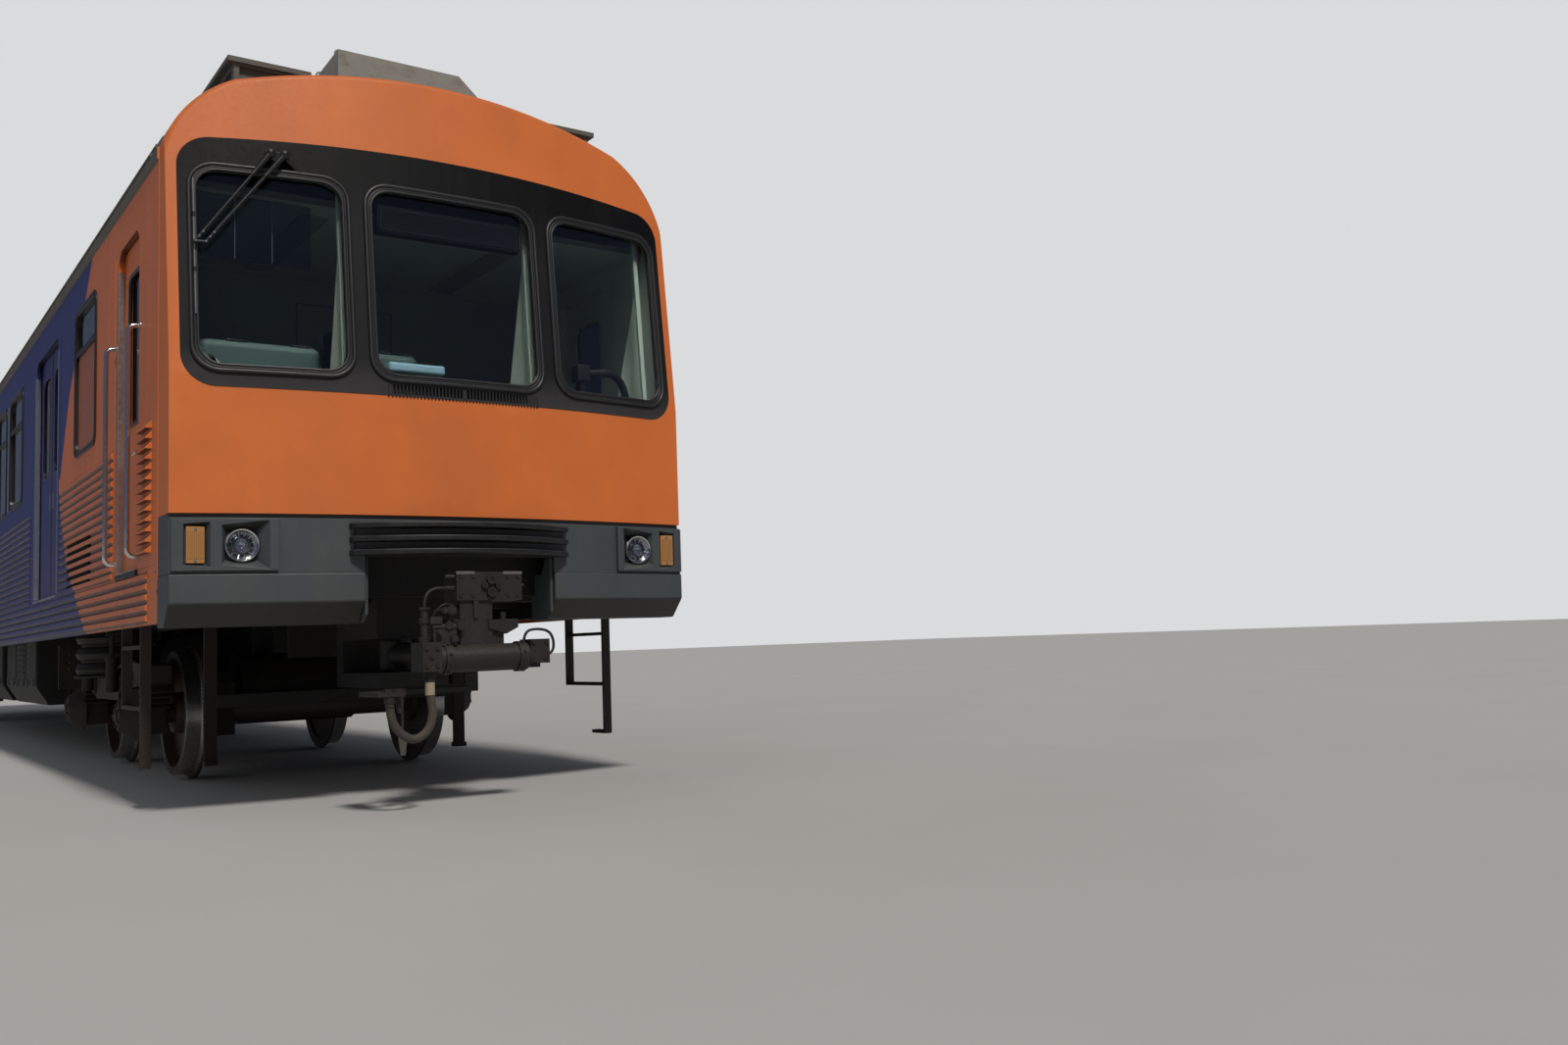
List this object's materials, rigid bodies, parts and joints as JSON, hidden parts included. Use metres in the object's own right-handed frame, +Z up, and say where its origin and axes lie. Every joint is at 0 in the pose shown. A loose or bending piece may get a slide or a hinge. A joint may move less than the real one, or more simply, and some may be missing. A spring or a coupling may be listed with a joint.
{
  "type": "metro motor car with pantograph",
  "caption": "Metro car with a raked curved cab front, sliding doors, fluted sides, two bogies, a folded pantograph and a coupler.",
  "frame": {"origin": "under the middle of the car, at the lowest point of the wheel flanges", "axes": "+X to the right when facing the front, +Y towards the back of the car, +Z up; the cab front is at the low end of Y"},
  "size_m": [3.148, 23.14, 4.6415],
  "materials": {
    "body_orange": "satin paint, sun-faded and dusty",
    "body_blue": "satin paint",
    "roof_grey": "matt paint, weathered",
    "roof_units_grey": "matt paint, streaked",
    "band_black": "satin black, dusty",
    "seal_rubber": "matt",
    "window_glass": "clear, slightly green",
    "bumper_grey": "satin, chipped",
    "frame_black": "greasy and dusty",
    "bogie_steel": "greasy with brown dust",
    "wheel_steel": "turned treads, rusty discs",
    "rail_chrome": "polished",
    "lining_cream": "satin laminate",
    "desk_green": "textured",
    "seat_vinyl": "semi-gloss vinyl",
    "lamp_glass": "ribbed lens",
    "pantograph_paint": "matt red-brown paint, dusty",
    "strip_carbon": "worn carbon",
    "wiper_black": "satin",
    "hose_rubber": "dusty rubber",
    "coupler_grey": "greasy cast steel"
  },
  "bodies": {
    "car_body": {"side_walls": "body_orange", "skirts": "body_orange", "cantrails": "body_orange", "roof": "roof_grey", "ceiling": "lining_cream", "underframe": "frame_black", "front_mask": "body_orange", "window_band": "band_black", "window_seals": "seal_rubber", "windows": "window_glass", "front_valance": "bumper_grey", "front_lamps": "lamp_glass", "bumpers": "bumper_grey", "anticlimber": "frame_black", "wiper": "wiper_black", "end_wall": "body_orange", "partition": "lining_cream", "grab_rails": "rail_chrome", "driver_desk": "desk_green", "seats": "seat_vinyl", "grab_poles": "rail_chrome", "roof_ducts": "roof_grey", "roof_units": "roof_units_grey", "pantograph_base": "pantograph_paint", "underfloor_boxes": "frame_black", "steps_and_guards": "frame_black"},
    "coupler": {"coupler": "coupler_grey", "coupler_hose": "hose_rubber"},
    "drawbar": {"drawbar": "coupler_grey"},
    "pantograph_lower_arm": {"pantograph_lower_arm": "pantograph_paint"},
    "pantograph_upper_arm": {"pantograph_upper_arm": "pantograph_paint"},
    "pantograph_rod": {"pantograph_rod": "pantograph_paint"},
    "pantograph_head": {"pantograph_head": "strip_carbon"},
    "cab_door_left": {"cab_door_left": "body_orange"},
    "cab_door_right": {"cab_door_right": "body_orange"},
    "end_door": {"end_door": "body_orange"},
    "partition_door": {"partition_door": "lining_cream"},
    "door_1_right_front": {"door_1_right_front": "body_blue"},
    "door_1_right_back": {"door_1_right_back": "body_blue"},
    "door_2_right_front": {"door_2_right_front": "body_orange"},
    "door_2_right_back": {"door_2_right_back": "body_orange"},
    "door_3_right_front": {"door_3_right_front": "body_orange"},
    "door_3_right_back": {"door_3_right_back": "body_orange"},
    "door_4_right_front": {"door_4_right_front": "body_blue"},
    "door_4_right_back": {"door_4_right_back": "body_blue"},
    "door_1_left_front": {"door_1_left_front": "body_blue"},
    "door_1_left_back": {"door_1_left_back": "body_blue"},
    "door_2_left_front": {"door_2_left_front": "body_orange"},
    "door_2_left_back": {"door_2_left_back": "body_orange"},
    "door_3_left_front": {"door_3_left_front": "body_orange"},
    "door_3_left_back": {"door_3_left_back": "body_orange"},
    "door_4_left_front": {"door_4_left_front": "body_blue"},
    "door_4_left_back": {"door_4_left_back": "body_blue"},
    "bogie_front": {"bogie_front": "bogie_steel"},
    "wheelset_1": {"wheelset_1": "wheel_steel"},
    "wheelset_2": {"wheelset_2": "wheel_steel"},
    "bogie_back": {"bogie_back": "bogie_steel"},
    "wheelset_3": {"wheelset_3": "wheel_steel"},
    "wheelset_4": {"wheelset_4": "wheel_steel"}
  },
  "joints": [
    {"name": "coupler_swing", "type": "hinge", "parent": "car_body", "child": "coupler", "pos_m": [0, -10, 0.803], "axis": [0, 0, 1], "range_deg": [-8, 8]},
    {"name": "drawbar_swing", "type": "hinge", "parent": "car_body", "child": "drawbar", "pos_m": [0, 10, 0.803], "axis": [0, 0, 1], "range_deg": [-8, 8]},
    {"name": "pantograph_lift", "type": "hinge", "parent": "car_body", "child": "pantograph_lower_arm", "pos_m": [0, -7.85, 4.428], "axis": [-1, 0, 0], "range_deg": [0, 42]},
    {"name": "pantograph_knuckle", "type": "hinge", "parent": "pantograph_lower_arm", "child": "pantograph_upper_arm", "pos_m": [0, -9.39947, 4.46857], "axis": [1, 0, 0], "range_deg": [0, 75.3]},
    {"name": "pantograph_head_tilt", "type": "hinge", "parent": "pantograph_upper_arm", "child": "pantograph_head", "pos_m": [0, -7.08088, 4.54954], "axis": [-1, 0, 0], "range_deg": [0, 33.3]},
    {"name": "pantograph_rod_swing", "type": "hinge", "parent": "car_body", "child": "pantograph_rod", "pos_m": [0, -8.102, 4.378], "axis": [-1, 0, 0], "range_deg": [0, 44.59]},
    {"name": "cab_door_left_hinge", "type": "hinge", "parent": "car_body", "child": "cab_door_left", "pos_m": [-1.442, -9.598, 1.3], "axis": [0, 0, 1], "range_deg": [0, 85]},
    {"name": "cab_door_right_hinge", "type": "hinge", "parent": "car_body", "child": "cab_door_right", "pos_m": [1.442, -9.598, 1.3], "axis": [0, 0, -1], "range_deg": [0, 85]},
    {"name": "end_door_hinge", "type": "hinge", "parent": "car_body", "child": "end_door", "pos_m": [-0.35, 10.902, 1.4], "axis": [0, 0, -1], "range_deg": [0, 90]},
    {"name": "partition_door_hinge", "type": "hinge", "parent": "car_body", "child": "partition_door", "pos_m": [-0.3, -9.042, 1.4], "axis": [0, 0, 1], "range_deg": [0, 90]},
    {"name": "door_1_right_front_slide", "type": "slide", "parent": "car_body", "child": "door_1_right_front", "axis": [0, -1, 0], "range_m": [0, 0.575]},
    {"name": "door_1_right_back_slide", "type": "slide", "parent": "car_body", "child": "door_1_right_back", "axis": [0, 1, 0], "range_m": [0, 0.575]},
    {"name": "door_2_right_front_slide", "type": "slide", "parent": "car_body", "child": "door_2_right_front", "axis": [0, -1, 0], "range_m": [0, 0.575]},
    {"name": "door_2_right_back_slide", "type": "slide", "parent": "car_body", "child": "door_2_right_back", "axis": [0, 1, 0], "range_m": [0, 0.575]},
    {"name": "door_3_right_front_slide", "type": "slide", "parent": "car_body", "child": "door_3_right_front", "axis": [0, -1, 0], "range_m": [0, 0.575]},
    {"name": "door_3_right_back_slide", "type": "slide", "parent": "car_body", "child": "door_3_right_back", "axis": [0, 1, 0], "range_m": [0, 0.575]},
    {"name": "door_4_right_front_slide", "type": "slide", "parent": "car_body", "child": "door_4_right_front", "axis": [0, -1, 0], "range_m": [0, 0.575]},
    {"name": "door_4_right_back_slide", "type": "slide", "parent": "car_body", "child": "door_4_right_back", "axis": [0, 1, 0], "range_m": [0, 0.575]},
    {"name": "door_1_left_front_slide", "type": "slide", "parent": "car_body", "child": "door_1_left_front", "axis": [0, -1, 0], "range_m": [0, 0.575]},
    {"name": "door_1_left_back_slide", "type": "slide", "parent": "car_body", "child": "door_1_left_back", "axis": [0, 1, 0], "range_m": [0, 0.575]},
    {"name": "door_2_left_front_slide", "type": "slide", "parent": "car_body", "child": "door_2_left_front", "axis": [0, -1, 0], "range_m": [0, 0.575]},
    {"name": "door_2_left_back_slide", "type": "slide", "parent": "car_body", "child": "door_2_left_back", "axis": [0, 1, 0], "range_m": [0, 0.575]},
    {"name": "door_3_left_front_slide", "type": "slide", "parent": "car_body", "child": "door_3_left_front", "axis": [0, -1, 0], "range_m": [0, 0.575]},
    {"name": "door_3_left_back_slide", "type": "slide", "parent": "car_body", "child": "door_3_left_back", "axis": [0, 1, 0], "range_m": [0, 0.575]},
    {"name": "door_4_left_front_slide", "type": "slide", "parent": "car_body", "child": "door_4_left_front", "axis": [0, -1, 0], "range_m": [0, 0.575]},
    {"name": "door_4_left_back_slide", "type": "slide", "parent": "car_body", "child": "door_4_left_back", "axis": [0, 1, 0], "range_m": [0, 0.575]},
    {"name": "bogie_front_turn", "type": "hinge", "parent": "car_body", "child": "bogie_front", "pos_m": [0, -7, 1], "axis": [0, 0, 1], "range_deg": [-5, 5]},
    {"name": "wheelset_1_roll", "type": "hinge", "parent": "bogie_front", "child": "wheelset_1", "pos_m": [0, -8.1, 0.458], "axis": [1, 0, 0], "continuous": true},
    {"name": "wheelset_2_roll", "type": "hinge", "parent": "bogie_front", "child": "wheelset_2", "pos_m": [0, -5.9, 0.458], "axis": [1, 0, 0], "continuous": true},
    {"name": "bogie_back_turn", "type": "hinge", "parent": "car_body", "child": "bogie_back", "pos_m": [0, 7, 1], "axis": [0, 0, 1], "range_deg": [-5, 5]},
    {"name": "wheelset_3_roll", "type": "hinge", "parent": "bogie_back", "child": "wheelset_3", "pos_m": [0, 5.9, 0.458], "axis": [1, 0, 0], "continuous": true},
    {"name": "wheelset_4_roll", "type": "hinge", "parent": "bogie_back", "child": "wheelset_4", "pos_m": [0, 8.1, 0.458], "axis": [1, 0, 0], "continuous": true}
  ],
  "couplings": [
    {"joint": "pantograph_knuckle", "follows": "pantograph_lift", "ratio": 1.7929},
    {"joint": "pantograph_head_tilt", "follows": "pantograph_lift", "ratio": 0.79285},
    {"joint": "pantograph_rod_swing", "follows": "pantograph_lift", "ratio": 1.0616},
    {"joint": "door_1_right_back_slide", "follows": "door_1_right_front_slide", "ratio": 1},
    {"joint": "door_2_right_back_slide", "follows": "door_2_right_front_slide", "ratio": 1},
    {"joint": "door_3_right_back_slide", "follows": "door_3_right_front_slide", "ratio": 1},
    {"joint": "door_4_right_back_slide", "follows": "door_4_right_front_slide", "ratio": 1},
    {"joint": "door_1_left_back_slide", "follows": "door_1_left_front_slide", "ratio": 1},
    {"joint": "door_2_left_back_slide", "follows": "door_2_left_front_slide", "ratio": 1},
    {"joint": "door_3_left_back_slide", "follows": "door_3_left_front_slide", "ratio": 1},
    {"joint": "door_4_left_back_slide", "follows": "door_4_left_front_slide", "ratio": 1}
  ]
}
